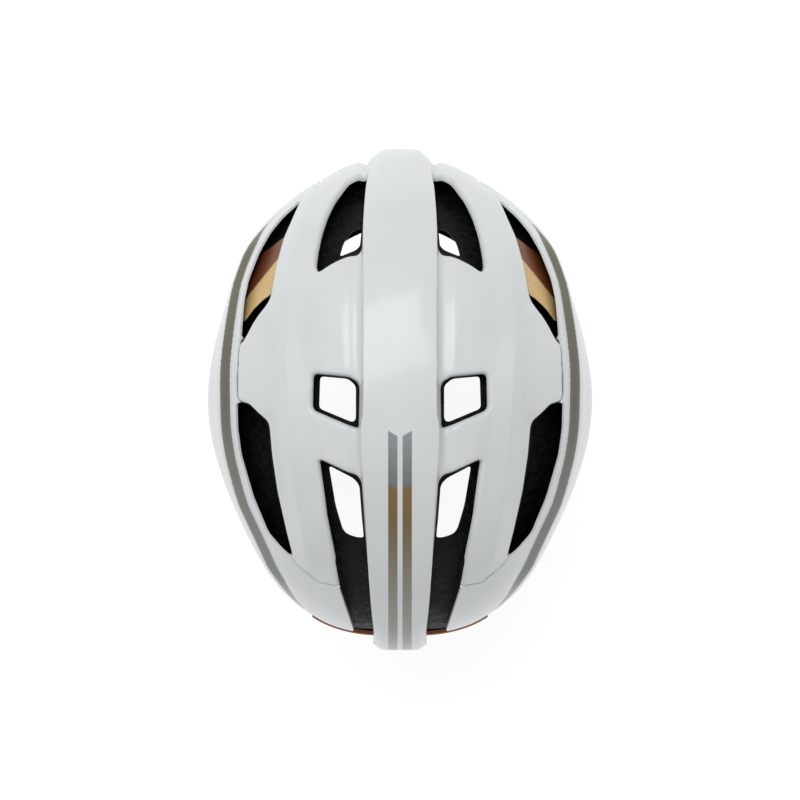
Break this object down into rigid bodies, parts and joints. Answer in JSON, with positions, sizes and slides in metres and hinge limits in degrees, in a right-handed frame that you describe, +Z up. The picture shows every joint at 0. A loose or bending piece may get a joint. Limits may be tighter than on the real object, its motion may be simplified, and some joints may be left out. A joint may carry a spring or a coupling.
{
  "type": "cycling helmet",
  "caption": "Vented road cycling helmet with a raised centre spine, gold vent inserts, webbing straps with a side-release buckle, and a rear dial fit system.",
  "frame": {"origin": "on the mirror plane, half way along the shell, at the height of the wearer's ears and eyes: the head mount", "axes": "+Z up through the crown, the brow faces -Y, +X is the wearer's left"},
  "size_m": [0.2182, 0.2849, 0.2848],
  "materials": {
    "white_shell": "gloss pearl white",
    "bronze_trim": "bronze metallic",
    "gold_chrome": "mirror gold",
    "black_foam": "moulded bead foam",
    "pad_fabric": "knitted",
    "hook_fabric": "hook tape",
    "webbing": "woven",
    "black_plastic": "satin",
    "black_rubber": "matt",
    "steel": "satin"
  },
  "bodies": {
    "helmet": {"upper_shell": "white_shell", "lower_shell_left": "white_shell", "lower_shell_right": "white_shell", "rear_trim": "bronze_trim", "foam_liner": "black_foam", "vent_insert_left": "gold_chrome", "vent_insert_right": "gold_chrome", "front_pad": "pad_fabric", "crown_pad": "pad_fabric", "side_pad_left": "pad_fabric", "side_pad_right": "pad_fabric", "hook_dots": "hook_fabric", "strap_anchors": "black_plastic", "temple_anchor_left": "black_plastic", "temple_anchor_right": "black_plastic", "temple_pins": "black_plastic", "height_ladder": "black_plastic", "front_strap_left": "webbing", "front_strap_right": "webbing", "rear_strap_left": "webbing", "rear_strap_right": "webbing", "chin_strap_left": "webbing", "chin_strap_right": "webbing", "buckle_socket": "black_plastic"},
    "divider_left": {"strap_divider_left": "black_plastic", "cam_pin_left": "steel"},
    "divider_right": {"strap_divider_right": "black_plastic", "cam_pin_right": "steel"},
    "cam_left": {"cam_lever_left": "black_plastic"},
    "cam_right": {"cam_lever_right": "black_plastic"},
    "keeper": {"strap_keeper": "black_rubber"},
    "tongue": {"buckle_tongue": "black_plastic"},
    "prong_front": {"buckle_prong_front": "black_plastic"},
    "prong_rear": {"buckle_prong_rear": "black_plastic"},
    "cradle": {"occipital_cradle": "black_plastic", "cradle_pad_left": "pad_fabric", "cradle_pad_right": "pad_fabric", "height_arm": "black_plastic", "side_band_left": "black_plastic", "side_band_right": "black_plastic", "dial_base": "black_plastic", "dial_cover": "black_plastic", "cover_screws": "steel", "click_spring": "steel"},
    "dial": {"dial_knob": "black_plastic", "dial_grip": "black_rubber", "pinion": "black_plastic", "dial_screw": "steel"},
    "rack_left": {"rack_left": "black_plastic"},
    "rack_right": {"rack_right": "black_plastic"}
  },
  "joints": [
    {"name": "cradle_height", "type": "hinge", "parent": "helmet", "child": "cradle", "pos_m": [0, -0.038, 0.036], "axis": [1, 0, 0], "range_deg": [-4, 4]},
    {"name": "dial_turn", "type": "hinge", "parent": "cradle", "child": "dial", "pos_m": [0, 0.10543, -0.02897], "axis": [0, 0.9397, -0.342], "range_deg": [-90, 90]},
    {"name": "rack_slide_left", "type": "slide", "parent": "cradle", "child": "rack_left", "axis": [1, 0, 0], "range_m": [-0.00786, 0.00786], "deforming": ["side_band_left"]},
    {"name": "rack_slide_right", "type": "slide", "parent": "cradle", "child": "rack_right", "axis": [-1, 0, 0], "range_m": [-0.00786, 0.00786], "deforming": ["side_band_right"]},
    {"name": "divider_slide_left", "type": "slide", "parent": "helmet", "child": "divider_left", "axis": [0, -0.4848, -0.8746], "range_m": [0, 0.012]},
    {"name": "divider_slide_right", "type": "slide", "parent": "helmet", "child": "divider_right", "axis": [0, -0.4848, -0.8746], "range_m": [0, 0.012]},
    {"name": "cam_lever_left", "type": "hinge", "parent": "divider_left", "child": "cam_left", "pos_m": [0.0793, -0.01067, -0.03281], "axis": [0, -0.8746, 0.4848], "range_deg": [0, 80]},
    {"name": "cam_lever_right", "type": "hinge", "parent": "divider_right", "child": "cam_right", "pos_m": [-0.0793, -0.01067, -0.03281], "axis": [0, 0.8746, -0.4848], "range_deg": [0, 80]},
    {"name": "keeper_slide", "type": "slide", "parent": "helmet", "child": "keeper", "axis": [1, 0, 0], "range_m": [-0.006, 0.005]},
    {"name": "buckle_release", "type": "slide", "parent": "helmet", "child": "tongue", "axis": [-1, 0, 0], "range_m": [0, 0.024], "deforming": ["chin_strap_right"]},
    {"name": "prong_squeeze_rear", "type": "hinge", "parent": "tongue", "child": "prong_rear", "pos_m": [-0.0028, -0.0463, -0.11196], "axis": [0, -0.4848, -0.8746], "range_deg": [0, 8], "stiffness_Nm_per_rad": 0.02},
    {"name": "prong_squeeze_front", "type": "hinge", "parent": "tongue", "child": "prong_front", "pos_m": [-0.0028, -0.0589, -0.10497], "axis": [0, 0.4848, 0.8746], "range_deg": [0, 8], "stiffness_Nm_per_rad": 0.02}
  ],
  "couplings": [
    {"joint": "rack_slide_left", "follows": "dial_turn", "m_per_rad": 0.005},
    {"joint": "rack_slide_right", "follows": "dial_turn", "m_per_rad": 0.005},
    {"joint": "prong_squeeze_front", "follows": "prong_squeeze_rear", "ratio": 1}
  ]
}
